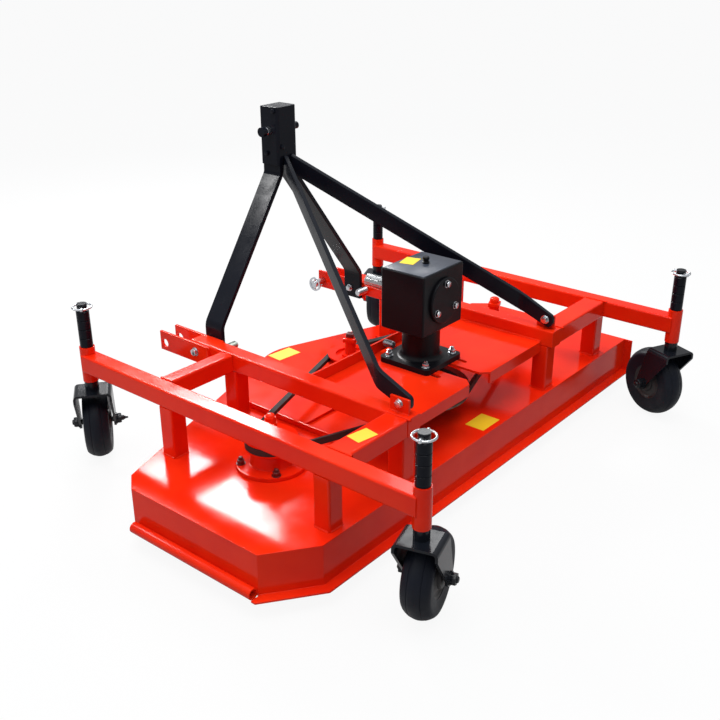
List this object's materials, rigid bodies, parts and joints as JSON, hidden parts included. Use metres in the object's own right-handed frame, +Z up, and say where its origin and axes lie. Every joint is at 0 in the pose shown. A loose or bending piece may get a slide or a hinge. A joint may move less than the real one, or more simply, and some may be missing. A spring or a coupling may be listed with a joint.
{
  "type": "rotary finishing mower",
  "caption": "Tractor-mounted rotary finishing mower: belt-driven blades under a steel deck, three point hitch mast, gearbox and swivelling caster wheels.",
  "frame": {"origin": "centre of the input shaft, at the front end of its full diameter", "axes": "+X to the machine's right, +Y forward towards the tractor, +Z up"},
  "size_m": [1.529, 1.2064, 0.855],
  "materials": {
    "red_paint": "glossy orange red enamel",
    "black_paint": "satin black enamel",
    "gearbox_black": "satin black paint on a casting",
    "zinc": "bright zinc plate",
    "bright_steel": "ground bare steel",
    "pulley_iron": "machined cast iron",
    "blade_steel": "black painted spring steel",
    "belt_rubber": "dull rubber and cloth",
    "tyre_rubber": "moulded solid rubber",
    "hub_grey": "moulded grey hub"
  },
  "bodies": {
    "root": {"outer_rail_left": "red_paint", "outer_rail_right": "red_paint", "inner_beam_left": "red_paint", "inner_beam_right": "red_paint", "cross_members": "red_paint", "frame_posts": "red_paint", "deck": "red_paint", "deck_panel": "red_paint", "deck_ribs": "red_paint", "skid_tube": "red_paint", "rotor_housings": "red_paint", "platform_left": "red_paint", "platform_right": "red_paint", "platform_stiffener": "red_paint", "hitch_plates_left": "red_paint", "hitch_plates_right": "red_paint", "brace_tabs": "red_paint", "mast_leg_left": "black_paint", "mast_leg_right": "black_paint", "mast_brace_left": "black_paint", "mast_brace_right": "black_paint", "mast_head": "black_paint", "top_link_pin": "black_paint", "gearbox": "gearbox_black", "gearbox_cover": "gearbox_black", "hitch_pin": "zinc", "drive_belt": "belt_rubber"},
    "input_shaft": {"input_shaft": "bright_steel"},
    "drive": {"drive_pulley": "pulley_iron", "output_shaft": "bright_steel"},
    "rotor_left": {"spindle_left": "red_paint", "blade_left": "blade_steel"},
    "rotor_centre": {"spindle_centre": "red_paint", "blade_centre": "blade_steel"},
    "rotor_right": {"spindle_right": "red_paint", "blade_right": "blade_steel"},
    "caster_front_left": {"fork_front_left": "black_paint", "spacers_front_left": "black_paint", "lynch_pin_front_left": "zinc"},
    "wheel_front_left": {"tyre_front_left": "tyre_rubber", "hub_front_left": "hub_grey"},
    "caster_front_right": {"fork_front_right": "black_paint", "spacers_front_right": "black_paint", "lynch_pin_front_right": "zinc"},
    "wheel_front_right": {"tyre_front_right": "tyre_rubber", "hub_front_right": "hub_grey"},
    "caster_rear_left": {"fork_rear_left": "black_paint", "spacers_rear_left": "black_paint", "lynch_pin_rear_left": "zinc"},
    "wheel_rear_left": {"tyre_rear_left": "tyre_rubber", "hub_rear_left": "hub_grey"},
    "caster_rear_right": {"fork_rear_right": "black_paint", "spacers_rear_right": "black_paint", "lynch_pin_rear_right": "zinc"},
    "wheel_rear_right": {"tyre_rear_right": "tyre_rubber", "hub_rear_right": "hub_grey"}
  },
  "joints": [
    {"name": "drive_spin", "type": "hinge", "parent": "root", "child": "drive", "pos_m": [0, -0.169, -0.25], "axis": [0, 0, 1], "continuous": true},
    {"name": "input_shaft_spin", "type": "hinge", "parent": "root", "child": "input_shaft", "pos_m": [0, 0, 0], "axis": [0, 1, 0], "continuous": true},
    {"name": "rotor_left_spin", "type": "hinge", "parent": "root", "child": "rotor_left", "pos_m": [-0.446, -0.075, -0.378], "axis": [0, 0, 1], "continuous": true},
    {"name": "rotor_centre_spin", "type": "hinge", "parent": "root", "child": "rotor_centre", "pos_m": [0.026, 0.084, -0.378], "axis": [0, 0, 1], "continuous": true},
    {"name": "rotor_right_spin", "type": "hinge", "parent": "root", "child": "rotor_right", "pos_m": [0.498, -0.075, -0.378], "axis": [0, 0, 1], "continuous": true},
    {"name": "caster_front_left_swivel", "type": "hinge", "parent": "root", "child": "caster_front_left", "pos_m": [-0.552, 0.45, -0.138], "axis": [0, 0, 1], "continuous": true},
    {"name": "wheel_front_left_spin", "type": "hinge", "parent": "caster_front_left", "child": "wheel_front_left", "pos_m": [-0.52245, 0.48783, -0.353], "axis": [-0.788, 0.6157, 0], "continuous": true},
    {"name": "caster_front_right_swivel", "type": "hinge", "parent": "root", "child": "caster_front_right", "pos_m": [0.604, 0.45, -0.138], "axis": [0, 0, 1], "continuous": true},
    {"name": "wheel_front_right_spin", "type": "hinge", "parent": "caster_front_right", "child": "wheel_front_right", "pos_m": [0.6475, 0.47029, -0.353], "axis": [-0.4226, 0.9063, 0], "continuous": true},
    {"name": "caster_rear_left_swivel", "type": "hinge", "parent": "root", "child": "caster_rear_left", "pos_m": [-0.552, -0.578, -0.138], "axis": [0, 0, 1], "continuous": true},
    {"name": "wheel_rear_left_spin", "type": "hinge", "parent": "caster_rear_left", "child": "wheel_rear_left", "pos_m": [-0.5061, -0.56397, -0.353], "axis": [-0.2924, 0.9563, 0], "continuous": true},
    {"name": "caster_rear_right_swivel", "type": "hinge", "parent": "root", "child": "caster_rear_right", "pos_m": [0.604, -0.578, -0.138], "axis": [0, 0, 1], "continuous": true},
    {"name": "wheel_rear_right_spin", "type": "hinge", "parent": "caster_rear_right", "child": "wheel_rear_right", "pos_m": [0.62429, -0.5345, -0.353], "axis": [-0.9063, 0.4226, 0], "continuous": true}
  ],
  "couplings": [
    {"joint": "input_shaft_spin", "follows": "drive_spin", "ratio": 0.33333},
    {"joint": "rotor_left_spin", "follows": "drive_spin", "ratio": 2.1429},
    {"joint": "rotor_centre_spin", "follows": "drive_spin", "ratio": 2.1429},
    {"joint": "rotor_right_spin", "follows": "drive_spin", "ratio": 2.1429}
  ]
}
